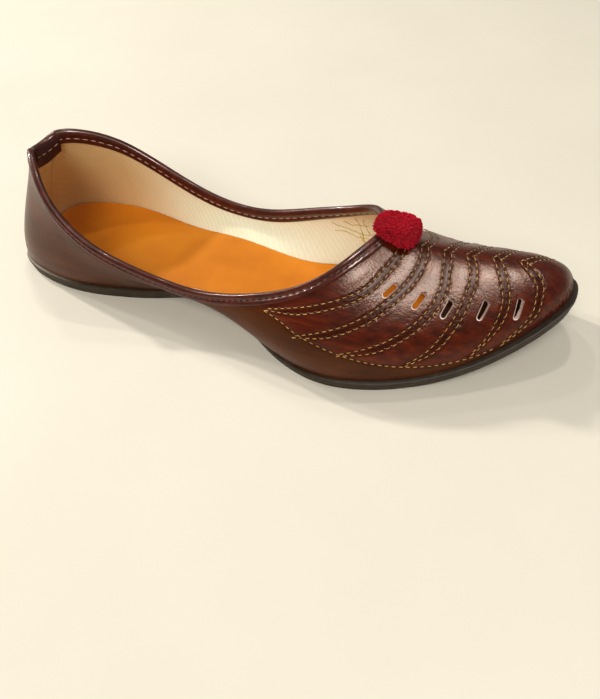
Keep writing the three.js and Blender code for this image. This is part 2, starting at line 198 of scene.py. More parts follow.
def grid_faces(rows, columns, wrap_rows=False, wrap_columns=False):
    """Four-sided faces of a grid whose points run row by row."""
    i = np.arange(rows if wrap_rows else rows - 1)[:, None]
    j = np.arange(columns if wrap_columns else columns - 1)[None, :]
    i, j = np.broadcast_arrays(i, j)
    i2, j2 = (i + 1) % rows, (j + 1) % columns
    quads = [i * columns + j, i2 * columns + j, i2 * columns + j2, i * columns + j2]
    return np.stack(quads, axis=-1).reshape(-1, 4)


def across(ring, share):
    """A ring drawn in toward the shoe's middle: each point moves to the mean of itself and its mirror."""
    mirror = np.roll(ring[::-1], 1, axis=0)
    return share * ring + (1 - share) * (ring + mirror) / 2


def node(tree, kind, inputs=None, **settings):
    """A shader node; an input given as a socket is linked, any other value is set on it."""
    made = tree.nodes.new(kind)
    for key, value in settings.items():
        setattr(made, key, value)
    for key, value in (inputs or {}).items():
        if isinstance(value, bpy.types.NodeSocket):
            tree.links.new(value, made.inputs[key])
        else:
            made.inputs[key].default_value = value
    return made


def finish(name, **sockets):
    """A new material with constants on its shader; spaces in socket names are written as underscores."""
    material = bpy.data.materials.new(name)
    material.use_nodes = True
    shader = material.node_tree.nodes["Principled BSDF"]
    for key, value in sockets.items():
        shader.inputs[key.replace("_", " ")].default_value = value
    return material, material.node_tree, shader


def noise(tree, scale, detail=4.0, stretch=(1, 1, 1), roughness=0.55):
    """Fractal noise in the piece's own coordinates, drawn out along the axes where stretch is small."""
    place = node(tree, "ShaderNodeTexCoord").outputs["Object"]
    place = node(tree, "ShaderNodeMapping", {"Vector": place, "Scale": stretch}).outputs["Vector"]
    inputs = {"Vector": place, "Scale": scale, "Detail": detail, "Roughness": roughness}
    return node(tree, "ShaderNodeTexNoise", inputs).outputs["Fac"]


def ramp(tree, factor, *stops):
    """Colour along a factor: each stop is a place and a colour."""
    made = node(tree, "ShaderNodeValToRGB", {"Fac": factor})
    elements = made.color_ramp.elements
    while len(elements) < len(stops):
        elements.new(1.0)
    for element, (place, colour) in zip(elements, stops):
        element.position = place
        element.color = (*colour, 1.0)
    return made.outputs["Color"]


def mix(tree, factor, a, b, blend="MIX"):
    """One colour over another by a factor."""
    inputs = {0: factor, 6: a, 7: b}
    return node(tree, "ShaderNodeMix", inputs, data_type="RGBA", blend_type=blend).outputs[2]


def product(tree, a, b):
    """Two factors multiplied."""
    return node(tree, "ShaderNodeMath", {0: a, 1: b}, operation="MULTIPLY").outputs["Value"]


def level(tree, factor, low, high):
    """A factor from 0 to 1 carried to the range from low to high."""
    inputs = {"Value": factor, "To Min": low, "To Max": high}
    return node(tree, "ShaderNodeMapRange", inputs).outputs["Result"]


def share_along(tree, axis, start, end):
    """How far a point lies between two places on one of the piece's own axes, from 0 to 1."""
    place = node(tree, "ShaderNodeTexCoord").outputs["Object"]
    place = node(tree, "ShaderNodeSeparateXYZ", {"Vector": place}).outputs[axis]
    inputs = {"Value": place, "From Min": start, "From Max": end}
    return node(tree, "ShaderNodeMapRange", inputs).outputs["Result"]


def paint(shader, colour, socket="Base Color"):
    """Links a colour or a factor to one of a shader's sockets."""
    shader.id_data.links.new(colour, shader.inputs[socket])


def bump(tree, shader, height, depth, under=None):
    """Fine relief of a depth in millimetres on a shader, over an earlier relief where one is given."""
    inputs = {"Height": height, "Distance": depth * MILLIMETRE, "Strength": 1.0}
    if under is not None:
        inputs["Normal"] = under
    normal = node(tree, "ShaderNodeBump", inputs).outputs["Normal"]
    paint(shader, normal, "Normal")
    return normal


# metres on the piece's own axes between which a pale highlight line is painted on the ledge at the heel
LEDGE_HIGHLIGHT_UP, LEDGE_HIGHLIGHT_BACK = (0.0050, 0.0055), (-0.080, -0.104)
sole_rubber, tree, shader = finish("sole_rubber", Specular_IOR_Level=0.35)
dust = noise(tree, 260, 6)
colour = ramp(tree, dust, (0.3, (0.022, 0.014, 0.008)), (0.6, (0.039, 0.026, 0.0145)),
              (0.85, (0.105, 0.074, 0.046)))
# painted highlight: the top of the ledge at the heel is painted pale where it catches the light
ledge_highlight = product(tree, share_along(tree, "Z", *LEDGE_HIGHLIGHT_UP), share_along(tree, "X", *LEDGE_HIGHLIGHT_BACK))
colour = mix(tree, level(tree, ledge_highlight, 0, 0.7), colour, (0.30, 0.24, 0.18, 1))
paint(shader, colour)
paint(shader, level(tree, dust, 0.45, 0.75), "Roughness")
bump(tree, shader, noise(tree, 1500, 3), 0.12)

# inset from the ledge's edge, height from the top (0) or the underside (1), millimetres from that level
SOLE_PROFILE = [
    (0.9, 0, 0.0), (0.45, 0, -0.06), (0.15, 0, -0.22), (0.0, 0, -0.55), (0.0, 0, -1.3), (0.1, 0, -1.58),
    (0.3, 0, -1.7), (0.47, 0, -1.8), (0.52, 0, -2.1), (0.62, 1, 1.2), (0.76, 1, 0.5), (0.98, 1, 0.12),
    (1.5, 1, 0.0),
]
OUTLINE_POINTS = 300
SPREAD = (0.0, 0.2, 0.4, 0.6, 0.8, 0.93)
around = np.linspace(0, 2, OUTLINE_POINTS, endpoint=False)
edge, lip = feather(around)
out = feather_out(around)


def sole_ring(inset, from_under, lift):
    """The ledge's outline moved in by an inset, at a lift over the sole's top or underside."""
    ring = edge + out * (lip - inset)[:, None]
    ring[:, 2] = np.where(from_under, sole_under(ring[:, 0]), sole_top(ring[:, 0])) + lift
    return ring


rings = [sole_ring(*row) for row in SOLE_PROFILE]
rings = [across(rings[0], s) for s in SPREAD] + rings + [across(rings[-1], s) for s in SPREAD[::-1]]
ring_faces = grid_faces(len(rings), OUTLINE_POINTS, wrap_columns=True)
outsole = mesh_piece("outsole_rubber", rings, ring_faces, [sole_rubber])
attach(outsole, "root")
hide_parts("outsole")


# Insole
# A thin sock of orange-tan leatherette over a heel pad, cut to the inside of the wall.
# It is glued down on the sole before the shoe is boxed, and shows through the slits.
WALL = 1.8
BACK_DIP, BACK_CORNER = 1.2, 0.1
LEVEL_POWER = 6
SOCK_HEEL, SOCK_FORE, SOCK_THIN_START, SOCK_THIN_RUN, SOCK_EDGE = 3.6, 1.6, 60, 90, 0.7
SOCK_SEARCH, SOCK_SEARCH_STEPS = 0.7, 61
# inset from the sock's edge and drop below its top, then the inset where it meets the sole
SOCK_PROFILE = [(1.6, 0), (0.8, 0.05), (0.3, 0.22), (0.0, 0.6)]
SOCK_FOOT_INSET, SOCK_FOOT_SPREAD = 0.6, (0.8, 0.4, 0)
# metres along the shoe between which shade is painted on the sock, dark under the toe
SHADE_PAINTED_AHEAD = (0.066, 0.078)


def rib_points(around):
    """The four points that shape one rib of the last: collar, below the collar, above the sole, feather line.
    The collar dips by a parabola between two corners at the back."""
    share, side = share_and_side(around)
    x = section("collar_x", share)
    dip = BACK_DIP * np.clip(1 - (share / BACK_CORNER) ** 2, 0, None)
    collar = stack(x, midline(x) + side * section("collar_half", share), section("collar_z", share) - dip)
    foot, _ = feather(around)
    heading = np.radians(section("turn", share))
    run = stack(np.cos(heading), side * np.sin(heading), 0)
    rise = np.array([0, 0, 1.0])
    upper = collar + run * section("reach", share)[..., None] - rise * section("drop", share)[..., None]
    lower = foot + run * section("flare", share)[..., None] + rise * section("rise", share)[..., None]
    return collar, upper, lower, foot


def last(around, depth):
    """Outside of the lasted shoe: a cubic Bezier along each rib, from collar (depth 0) to sole (1)."""
    around, depth = np.broadcast_arrays(np.asarray(around, float), np.asarray(depth, float))
    collar, upper, lower, foot = rib_points(around)
    d = depth[..., None]
    return (1 - d) ** 3 * collar + 3 * (1 - d) ** 2 * d * upper + 3 * (1 - d) * d * d * lower + d ** 3 * foot


def last_runs(around, depth):
    """Change of the last's surface per unit around and per unit of depth."""
    along = (last(around + NEARBY, depth) - last(around - NEARBY, depth)) / (2 * NEARBY)
    down = (last(around, depth + NEARBY) - last(around, depth - NEARBY)) / (2 * NEARBY)
    return along, down


def last_out(around, depth):
    """Outward direction: the cross product of both runs, made level toward the sole."""
    along, down = last_runs(around, depth)
    normal = unit(np.cross(down, along))
    normal[..., 2] *= 1 - np.clip(depth, 0, None) ** LEVEL_POWER
    return unit(normal)


def wall(around, depth, offset):
    """A point at an offset from the outside of the upper."""
    return last(around, depth) + last_out(around, depth) * np.asarray(offset)[..., None]


def sock_level(x):
    """Top of the sock over the sole: a pad that eases from heel to forefoot."""
    thick = SOCK_HEEL - (SOCK_HEEL - SOCK_FORE) * ease((x - SOCK_THIN_START) / SOCK_THIN_RUN)
    return sole_top(x) + FIT_GAP + thick


inner = wall(around[:, None], np.linspace(1, SOCK_SEARCH, SOCK_SEARCH_STEPS)[None, :], -WALL)
reached = np.argmax(inner[..., 2] >= sock_level(feather(around)[0][:, 0])[:, None], axis=1)
edge = inner[np.arange(OUTLINE_POINTS), reached] - feather_out(around) * SOCK_EDGE


def sock_ring(inset, drop):
    """The sock's outline moved in by an inset, at a drop below its top."""
    ring = edge - feather_out(around) * inset
    ring[:, 2] = sock_level(ring[:, 0]) - drop
    return ring


rings = [sock_ring(*row) for row in SOCK_PROFILE]
foot = sock_ring(SOCK_FOOT_INSET, 0)
foot[:, 2] = sole_top(foot[:, 0]) + FIT_GAP
rings = [across(rings[0], s) for s in SPREAD] + rings + [foot] + [across(foot, s) for s in SOCK_FOOT_SPREAD]

insole_sock, tree, shader = finish("insole_leatherette", Roughness=0.55, Specular_IOR_Level=0.16)
cloud = noise(tree, 38, 5)
colour = ramp(tree, cloud, (0.3, (0.58, 0.165, 0.004)), (0.55, (0.68, 0.21, 0.006)),
              (0.8, (0.75, 0.26, 0.010)))
# painted shade: the sock is painted near black toward the toe, where the vamp shades it
colour = mix(tree, share_along(tree, "X", *SHADE_PAINTED_AHEAD), colour, (0.03, 0.010, 0.005, 1))
specks = ramp(tree, noise(tree, 1100, 2), (0.0, (0, 0, 0)), (0.74, (0, 0, 0)), (0.78, (1, 1, 1)))
colour = mix(tree, specks, colour, (0.36, 0.10, 0.012, 1))
paint(shader, colour)
under = bump(tree, shader, cloud, 0.5)
bump(tree, shader, noise(tree, 2200, 3), 0.06, under)
ring_faces = grid_faces(len(rings), OUTLINE_POINTS, wrap_columns=True)
insole = mesh_piece("insole_sock", rings, ring_faces, [insole_sock])
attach(insole, "root")
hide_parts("insole")


# Upper
# One lasted shell of polished reddish-brown leather with a cream leatherette lining bonded inside.
# The vamp is quilted by pairs of stitch rows and pierced by five slits on each side.
ROW_GAP, ROW_START, ROW_PART = 2.7, 0.3, 0.055
SEAM_STEP, SEAM_BEFORE = 4e-3, 0.3
# shares of the way to the toe where the vamp begins and where its panel reaches the sole
VAMP_START, VAMP_EASE, TOE_START, TOE_EASE = 0.60, 0.03, 0.88, 0.02
# millimetres from the seams, the collar and the sole over which the relief comes and goes
PANEL_PAST, PANEL_EASE = 0.8, 1.6
COLLAR_CLEAR, SOLE_CLEAR, CLEAR_EASE = 5.0, 1.0, 4.0
PUFF, PUFF_WIDE, PUFF_EDGE = 0.28, 3.2, 5.0
GUTTER, GUTTER_WIDE = 0.24, 0.6
PAIR_INSET, PAIR_EASE, PAIR_SHADE = 0.3, 0.5, 0.8
PUCKER_WIDE = 1.7
PLEAT_PITCH, PLEAT_HEIGHT, PLEAT_ABOVE, PLEAT_WIDE = 2.4, 0.36, 3.0, 2.2
PLEAT_START, PLEAT_EASE, PLEAT_SWAY = 0.90, 0.03, 1.3
# millimetres along the toe's edge for a share before the toe, by its first and second power
EDGE_FIRST, EDGE_SECOND = 275, 125
# rib share and depth along each pair of stitch rows, from the boundary seam up to the ridge
VAMP_ROWS = [
    [(0.620, 0.195), (0.675, 0.235), (0.745, 0.242), (0.795, 0.227), (0.863, 0.175), (0.944, 0.138),
     (1.0, 0.118)],
    [(0.649, 0.493), (0.704, 0.468), (0.762, 0.405), (0.817, 0.340), (0.876, 0.288), (0.936, 0.245),
     (1.0, 0.213)],
    [(0.697, 0.678), (0.746, 0.642), (0.793, 0.570), (0.844, 0.485), (0.891, 0.408), (0.936, 0.345),
     (1.0, 0.303)],
    [(0.766, 0.835), (0.800, 0.752), (0.836, 0.643), (0.876, 0.542), (0.914, 0.478), (0.956, 0.427),
     (1.0, 0.388)],
    [(0.831, 0.907), (0.857, 0.810), (0.896, 0.675), (0.928, 0.585), (0.962, 0.528), (1.0, 0.490)],
    [(0.859, 0.950), (0.897, 0.868), (0.919, 0.788), (0.943, 0.725), (0.973, 0.648), (1.0, 0.598)],
]
BOUNDARY = [
    (0.616, 0.200), (0.639, 0.335), (0.657, 0.472), (0.691, 0.640), (0.731, 0.775), (0.781, 0.877),
    (0.830, 0.938), (0.853, 0.953),
]
ROW_STEPS, BOUNDARY_STEPS = 80, 120


def smooth_line(points, count):
    """A Catmull-Rom curve through rib shares and depths, evenly stepped in its parameter."""
    p = np.asarray(points, float)
    p = np.concatenate([[2 * p[0] - p[1]], p, [2 * p[-1] - p[-2]]])
    t = np.linspace(0, len(p) - 3, count)
    i = np.minimum(t.astype(int), len(p) - 4)
    f = (t - i)[:, None]
    a, b, c, d = p[i], p[i + 1], p[i + 2], p[i + 3]
    return b + 0.5 * f * (c - a + f * (2 * a - 5 * b + 4 * c - d + f * (3 * (b - c) + d - a)))


def run_products(along, down):
    """Squared length of the run around, product of both runs, and squared length of the run down."""
    return np.sum(along * along, -1), np.sum(along * down, -1), np.sum(down * down, -1)


def seam_gap(around, depth, line):
    """Distance in millimetres from a seam, positive toward the sole: the difference in depth divided
    by the length of its gradient on the surface. Before its start the seam goes straight on."""
    share, side = share_and_side(around)
    first_slope = (line[4, 1] - line[0, 1]) / (line[4, 0] - line[0, 0])
    before = line[0] - SEAM_BEFORE * np.array([1, first_slope])
    knots = np.concatenate([[before], line]).T
    rise = np.interp(share + SEAM_STEP, *knots) - np.interp(share - SEAM_STEP, *knots)
    slope = rise / (2 * SEAM_STEP) * -side
    e, f, g = run_products(*last_runs(around, depth))
    steep = (g * slope ** 2 + 2 * f * slope + e) / np.maximum(e * g - f * f, 1e-6)
    return (depth - np.interp(share, *knots)) / np.sqrt(np.maximum(steep, 1e-12))


row_lines = [smooth_line(row, ROW_STEPS) for row in VAMP_ROWS]
boundary_line = smooth_line(BOUNDARY, BOUNDARY_STEPS)


def half_gap(share, line):
    """Half the distance between both rows of a pair: close at the boundary, then parting by an ease."""
    return ROW_GAP / 2 * (ROW_START + (1 - ROW_START) * ease((share - line[0, 0]) / ROW_PART))


def bell(distance, width):
    """A bell curve: 1 at no distance, falling by the square of the distance over the width."""
    return np.exp(-(distance / width) ** 2)


def vamp_fields(around, depth):
    """Relief of the quilted vamp in millimetres, with its panel, shade and pucker shares: pillows rise
    with the distance from the nearest pair of rows, each row lies in a bell-shaped gutter, the leather
    puckers beside it, and lasting pleats are a cosine along the toe's edge."""
    around, depth = np.broadcast_arrays(np.asarray(around, float), np.asarray(depth, float))
    share, _ = share_and_side(around)
    length = np.linalg.norm(last_runs(around, depth)[1], axis=-1)
    gaps = np.abs([seam_gap(around, depth, line) for line in row_lines])
    past_row = gaps - [half_gap(share, line) for line in row_lines]
    from_row = np.min(np.abs(past_row), axis=0)
    border = seam_gap(around, depth, boundary_line)
    above_sole = (1 - depth) * length
    front = ease((share - VAMP_START) / VAMP_EASE)
    past_toe = ease((share - TOE_START) / TOE_EASE)
    panel = np.maximum(ease((PANEL_PAST - border) / PANEL_EASE), past_toe) * front
    clear = ease((depth * length - COLLAR_CLEAR) / CLEAR_EASE) * ease((above_sole - SOLE_CLEAR) / CLEAR_EASE)
    gutter = bell(from_row, GUTTER_WIDE) * panel
    gutter = np.maximum(gutter, bell(border, GUTTER_WIDE) * front * (1 - past_toe))
    pillow = 1 - bell(np.min(gaps, axis=0), PUFF_WIDE)
    pillow = pillow * ease(-border / PUFF_EDGE + past_toe) * panel
    pull = bell(above_sole - PLEAT_ABOVE, PLEAT_WIDE) * ease((share - PLEAT_START) / PLEAT_EASE)
    edge_run = (1 - share) * (EDGE_FIRST + EDGE_SECOND * (1 - share))
    pleat = pull * np.cos(2 * np.pi * edge_run / PLEAT_PITCH + PLEAT_SWAY * np.sin(edge_run))
    inside_pair = ease(-(np.min(past_row, axis=0) + PAIR_INSET) / PAIR_EASE) * panel
    # the shade share marks where shade is painted: the gutter of each row and the strip inside each pair of
    # rows
    shade = np.maximum(gutter, PAIR_SHADE * inside_pair) * clear
    pucker = bell(from_row, PUCKER_WIDE) * panel * clear
    return (PUFF * pillow - GUTTER * gutter) * clear + PLEAT_HEIGHT * pleat, panel, shade, pucker


# share at which each run of ribs starts, and its ribs; they stand closest round the toe
RIB_RUNS = [(0.0, 50), (0.58, 92), (0.89, 84), (1.0, 1)]
OUTSIDE_STEPS, INSIDE_STEPS = 165, 26
runs = zip(RIB_RUNS, RIB_RUNS[1:])
half = [np.linspace(start, end, ribs, endpoint=False) for (start, ribs), (end, _) in runs]
half = np.concatenate(half + [[1.0]])
around = np.concatenate([half, 2 - half[-2:0:-1]])
outside_depth = np.linspace(0, 1, OUTSIDE_STEPS)
relief, panel, shade, pucker = vamp_fields(around[:, None], outside_depth[None, :])
outside = wall(around[:, None], outside_depth[None, :], relief)
inside = wall(around[:, None], np.linspace(1, 0, INSIDE_STEPS)[None, :], -WALL)
outside[:, -1, 2] = sole_top(outside[:, -1, 0]) + FIT_GAP
inside[:, 0, 2] = sole_top(inside[:, 0, 0]) + FIT_GAP
shell = np.concatenate([outside, inside], axis=1)
shell_columns = OUTSIDE_STEPS + INSIDE_STEPS


def field(tree, name):
    """A share that is kept on the piece's own points."""
    return node(tree, "ShaderNodeAttribute", attribute_name=name).outputs["Fac"]


def keep_field(piece, name, values):
    """Keeps one number on each point of a piece, under a name."""
    layer = piece.data.attributes.new(name, "FLOAT", "POINT")
    layer.data.foreach_set("value", np.ravel(values).astype(np.float32))


polished, tree, shader = finish(
    "polished_leather", Coat_Weight=0.05, Coat_Roughness=0.18, Specular_Tint=(1, 0.76, 0.6, 1))
streak = noise(tree, 1.0, 5, (26, 420, 420), 0.6)
vamp_colour = ramp(tree, streak, (0.30, (0.028, 0.0030, 0.0008)), (0.46, (0.058, 0.0056, 0.0011)),
                   (0.60, (0.092, 0.0092, 0.0020)), (0.76, (0.14, 0.019, 0.004)))
mottle = noise(tree, 1.0, 5, (26, 90, 90))
quarter_colour = ramp(tree, mottle, (0.30, (0.040, 0.0095, 0.0020)), (0.70, (0.088, 0.0215, 0.0044)))
on_panel = field(tree, "panel")
in_shade = field(tree, "shade")
colour = mix(tree, on_panel, quarter_colour, vamp_colour)
# painted shade: the leather is darkened in the gutters of the rows and between the rows of a pair
colour = mix(tree, level(tree, in_shade, 0, 0.6), colour, (0.016, 0.003, 0.001, 1))
paint(shader, colour)
paint(shader, level(tree, noise(tree, 120, 5), 0.22, 0.40), "Roughness")
shine = mix(tree, level(tree, in_shade, 0, 0.9), level(tree, on_panel, 0.2, 0.34), (0.06, 0.06, 0.06, 1))
paint(shader, shine, "Specular IOR Level")
under = bump(tree, shader, streak, 0.10)
under = bump(tree, shader, noise(tree, 1300, 4), 0.12, under)
bump(tree, shader, product(tree, noise(tree, 520, 2), field(tree, "pucker")), 0.5, under)

# metres along the shoe between which amber shade is painted on the lining toward the heel
SHADE_PAINTED_BACK = (-0.045, -0.090)
WEAVE_SCALE, WEAVE_SHADE, WEAVE_DEEP = 0.24, 0.05, 0.07
lining, tree, shader = finish("cream_lining", Roughness=0.42, Specular_IOR_Level=0.4)
colour = ramp(tree, noise(tree, 45, 5), (0.3, (0.93, 0.885, 0.62)), (0.7, (0.97, 0.94, 0.70)))
heel_shade = share_along(tree, "X", *SHADE_PAINTED_BACK)
# painted shade: the lining darkens to amber toward the heel, whose inside is shaded and lit by light off the
# orange insole
colour = mix(tree, level(tree, heel_shade, 0, 0.85), colour, (0.72, 0.46, 0.17, 1))
place = node(tree, "ShaderNodeUVMap", uv_map="lining").outputs["UV"]
weave = {"Vector": place, "Scale": WEAVE_SCALE, "Distortion": 0.6, "Detail": 1.0}
under = None
for way in ("DIAGONAL", "X"):
    threads = node(tree, "ShaderNodeTexWave", weave, bands_direction=way).outputs["Fac"]
    colour = mix(tree, WEAVE_SHADE, colour, threads, "MULTIPLY")
    under = bump(tree, shader, threads, WEAVE_DEEP, under)
paint(shader, colour)

raw_edge, tree, shader = finish("raw_leather_edge", Roughness=0.75)
colour = ramp(tree, noise(tree, 900, 4), (0.3, (0.52, 0.33, 0.26)), (0.6, (0.78, 0.62, 0.54)))
paint(shader, colour)
bump(tree, shader, noise(tree, 1600, 3), 0.08)

faces = grid_faces(len(around), shell_columns, wrap_rows=True, wrap_columns=True)
column = faces[:, 0] % shell_columns
within = (column >= OUTSIDE_STEPS - 1) & (column < shell_columns - 1)
shell_leathers = [polished, lining, raw_edge]
upper = mesh_piece("upper_leather", shell, faces, shell_leathers, within.astype(int), weld=False)
for name, values in (("panel", panel), ("shade", shade), ("pucker", pucker)):
    keep_field(upper, name, np.pad(values, ((0, 0), (0, INSIDE_STEPS))))
corner = np.zeros(len(upper.data.loops), dtype=np.int32)
upper.data.loops.foreach_get("vertex_index", corner)
flat = shell.reshape(-1, 3)[:, [0, 2]]
upper.data.uv_layers.new(name="lining").data.foreach_set("uv", flat[corner].ravel().astype(np.float32))

SLIT_WIDTH, SLIT_OVERCUT, SLIT_POINTS = 2.4, 3.0, 40
# rib share and depth of the low end, then of the high end
SLITS = np.array([
    (0.816, 0.292, 0.857, 0.260), (0.833, 0.423, 0.870, 0.372), (0.844, 0.545, 0.877, 0.480),
    (0.864, 0.662, 0.894, 0.590), (0.884, 0.795, 0.912, 0.698),
])


def turns(count):
    """Even steps of angle round a circle."""
    return np.linspace(0, 2 * np.pi, count, endpoint=False)


slit_turn = turns(SLIT_POINTS)


def surface_step(offset, along, down):
    """Change around and in depth that carries a point by an offset on the tangent plane: the offset's
    products with both runs, solved as two equations."""
    e, f, g = run_products(along, down)
    p, q = np.sum(offset * along, -1), np.sum(offset * down, -1)
    return (g * p - f * q) / (e * g - f * f), (e * q - f * p) / (e * g - f * f)


def slit_outlines(grow):
    """Around and depth of points on each slit's outline, a stadium grown by a margin: the outline is drawn
    on the tangent plane at the slit's middle and carried to the surface by its two runs."""
    low_share, low_depth, high_share, high_depth = np.concatenate([SLITS, SLITS]).T
    outer = np.repeat([True, False], len(SLITS))
    low_around, high_around = np.where(outer, [low_share, high_share], [2 - low_share, 2 - high_share])
    low, high = last(low_around, low_depth), last(high_around, high_depth)
    middle, depth = (low_around + high_around) / 2, (low_depth + high_depth) / 2
    along, down = last_runs(middle, depth)
    out = unit(np.cross(down, along))
    lengthwise = high - low
    lengthwise = unit(lengthwise - out * np.sum(lengthwise * out, -1, keepdims=True))
    sidewise = np.cross(out, lengthwise)
    straight = np.linalg.norm(high - low, axis=-1) / 2 - SLIT_WIDTH / 2
    radius = SLIT_WIDTH / 2 + grow
    x = np.sign(np.cos(slit_turn)) * straight[:, None] + radius * np.cos(slit_turn)
    y = radius * np.sin(slit_turn)
    offset = x[..., None] * lengthwise[:, None] + y[:, None] * sidewise[:, None]
    more_around, more_depth = surface_step(offset, along[:, None], down[:, None])
    return middle[:, None] + more_around, depth[:, None] + more_depth


def repeated(faces, count, points):
    """The faces of one shape for a count of like shapes, each with so many points, one after another."""
    faces = np.atleast_2d(faces)
    return (faces + (np.arange(count) * points)[:, None, None]).reshape(-1, faces.shape[1]).tolist()


ring_around, ring_depth = slit_outlines(0.0)
levels = (SLIT_OVERCUT, -WALL - SLIT_OVERCUT)
through = np.stack([wall(ring_around, ring_depth, height) for height in levels], axis=1)
knife_points = 2 * SLIT_POINTS
knife_faces = repeated(grid_faces(2, SLIT_POINTS, wrap_columns=True), len(through), knife_points)
knife_faces += repeated(np.arange(knife_points).reshape(2, -1), len(through), knife_points)
knife_mesh = bpy.data.meshes.new("slit_knife")
knife_mesh.from_pydata(own_frame(through), [], knife_faces)
weld_points(knife_mesh)
for material in shell_leathers:
    knife_mesh.materials.append(material)
inks = np.full(len(knife_mesh.polygons), shell_leathers.index(raw_edge), dtype=np.int32)
knife_mesh.polygons.foreach_set("material_index", inks)
knife = add_object("slit_knife", knife_mesh)
weld_points(upper.data)
cut = upper.modifiers.new("slits", "BOOLEAN")
cut.operation, cut.object, cut.solver = "DIFFERENCE", knife, "MANIFOLD"
pierced = bpy.data.meshes.new_from_object(upper.evaluated_get(bpy.context.evaluated_depsgraph_get()))
upper.modifiers.clear()
upper.data = pierced
bpy.data.objects.remove(knife)
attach(upper, "root")
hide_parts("upper")


# Back seam tape
# A narrow strip of the lining's own leatherette over the joint of the lining at the back.
# It is glued on from the binding down to the insole.
TAPE_THICK, TAPE_LIFT, TAPE_SUNK, TAPE_POWER = 0.3, 0.06, 0.1, 6
TAPE_LONG, TAPE_WIDE = 60, 9
# rib share and depth of the strip's two long edges
TAPE_EDGES = [
    [(1.941, 0.10), (1.963, 0.29), (1.972, 0.54), (1.981, 0.74), (1.986, 0.82)],
    [(1.912, 0.15), (1.930, 0.36), (1.942, 0.61), (1.953, 0.78), (1.957, 0.83)],
]


def sheet_solid(front, back):
    """Points and faces of a thin solid between two grids of one shape, closed by a skirt round the border."""
    rows, columns = front.shape[:2]
    index = np.arange(rows * columns).reshape(rows, columns)
    border = np.concatenate([index[0], index[1:, -1], index[-1, -2::-1], index[-2:0:-1, 0]])
    after = np.roll(border, -1)
    skirt = np.stack([border, after, after + index.size, border + index.size], axis=-1)
    return np.stack([front, back]), repeated(grid_faces(rows, columns), 2, index.size) + skirt.tolist()


edges = [smooth_line(line, TAPE_LONG) for line in TAPE_EDGES]
width = np.linspace(0, 1, TAPE_WIDE)[:, None]
tape_around, tape_depth = np.moveaxis(edges[0] * (1 - width[..., None]) + edges[1] * width[..., None], -1, 0)
raised = TAPE_THICK * (1 - (2 * width - 1) ** TAPE_POWER) + TAPE_LIFT
front = wall(tape_around, tape_depth, -WALL - raised)
back = wall(tape_around, tape_depth, -WALL + TAPE_SUNK)
seam_tape = mesh_piece("back_seam_tape", *sheet_solid(front, back), [lining])
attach(seam_tape, "root")


# Slit rims
# The pale cut edge of the leather, turned up a little round each slit.
# It is the raw flesh side of the hide, left unpolished; its low end is painted pale as a highlight and its
# high end dark as shade.
RIM_WIDE, RIM_HIGH, RIM_LIFT, RIM_SIDES = 0.2, 0.1, 0.02, 10
rims = []
for angle in turns(RIM_SIDES):
    rim_around, rim_depth = slit_outlines(RIM_LIFT + RIM_WIDE * np.cos(angle))
    height, *_ = vamp_fields(rim_around, rim_depth)
    rims.append(wall(rim_around, rim_depth, height + RIM_LIFT + RIM_HIGH * np.sin(angle)))
rims = np.stack(rims, axis=2)
rim_faces = repeated(grid_faces(SLIT_POINTS, RIM_SIDES, True, True), len(rims), SLIT_POINTS * RIM_SIDES)
rim_leather, tree, shader = finish("slit_rim_leather", Roughness=0.5)
# painted light: the rim's low end is painted pale as a highlight, its high end dark as shade
colour = ramp(tree, field(tree, "pale"), (0.25, (0.10, 0.035, 0.022)), (0.75, (0.62, 0.47, 0.40)),
              (1.0, (0.88, 0.78, 0.72)))
paint(shader, colour)
bump(tree, shader, noise(tree, 1600, 3), 0.08)
slit_rims = mesh_piece("slit_rims", rims, rim_faces, [rim_leather])
highlight_end = (1 - np.cos(slit_turn)) / 2
keep_field(slit_rims, "pale", np.broadcast_to(highlight_end[None, :, None], rims.shape[:3]))
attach(slit_rims, "root")


# Vamp stitching
# Pairs of gold cotton rows that quilt the vamp from side to side in chevrons, with a needle hole between
# stitches. A single row of the same thread closes the panel along its lower boundary, and a few ends of
# yellow thread are left loose on the lining.
THREAD_RADIUS, THREAD_LIFT, THREAD_SINK, THREAD_TIP = 0.18, 0.12, 1.1, 0.04
THREAD_SIDES, THREAD_STEPS = 8, 9
STITCH_PITCH, STITCH_LENGTH, STITCH_REACH = 2.7, 2.0, 0.3
# where in its pitch the first stitch of a pair's lower and upper row lies
PAIR_STARTS = (0.25, 0.75)


def thread_finish(name, dark, pale):
    """Twisted thread: a colour that varies along the rows and fibres in the bump."""
    material, tree, shader = finish(name, Roughness=0.6, Sheen_Weight=0.3)
    colour = ramp(tree, noise(tree, 420, 4), (0.35, dark), (0.65, pale))
    paint(shader, colour)
    bump(tree, shader, noise(tree, 1.0, 3, (2600, 5200, 5200)), 0.08)
    return material


def at_run(values, run, at):
    """Points or directions of a path at distances along it, each axis interpolated over the path's run."""
    return np.stack([np.interp(at, run, axis) for axis in values.T], axis=-1)


def stitch_places(path, normal, pitch, start=0.5):
    """Centres, headings and normals of stitches set at an even pitch along a path of points."""
    run = np.concatenate([[0], np.cumsum(np.linalg.norm(np.diff(path, axis=0), axis=1))])
    count = max(2, int(run[-1] / pitch))
    centre = (np.arange(count) + start) * run[-1] / count
    heading = unit(at_run(path, run, centre + STITCH_REACH) - at_run(path, run, centre - STITCH_REACH))
    return at_run(path, run, centre), heading, unit(at_run(normal, run, centre))


def set_out(places, forward, aside, up):
    """A grid of points round each stitch: its centre moved along its heading, its side and its normal."""
    centre, heading, normal = (part[:, None, None] for part in places)
    sidewise = np.cross(normal, heading)
    return centre + heading * forward[..., None] + sidewise * aside[..., None] + normal * up[..., None]


def joined(places):
    """The stitches of several rows as one set."""
    return [np.concatenate(part) for part in zip(*places)]


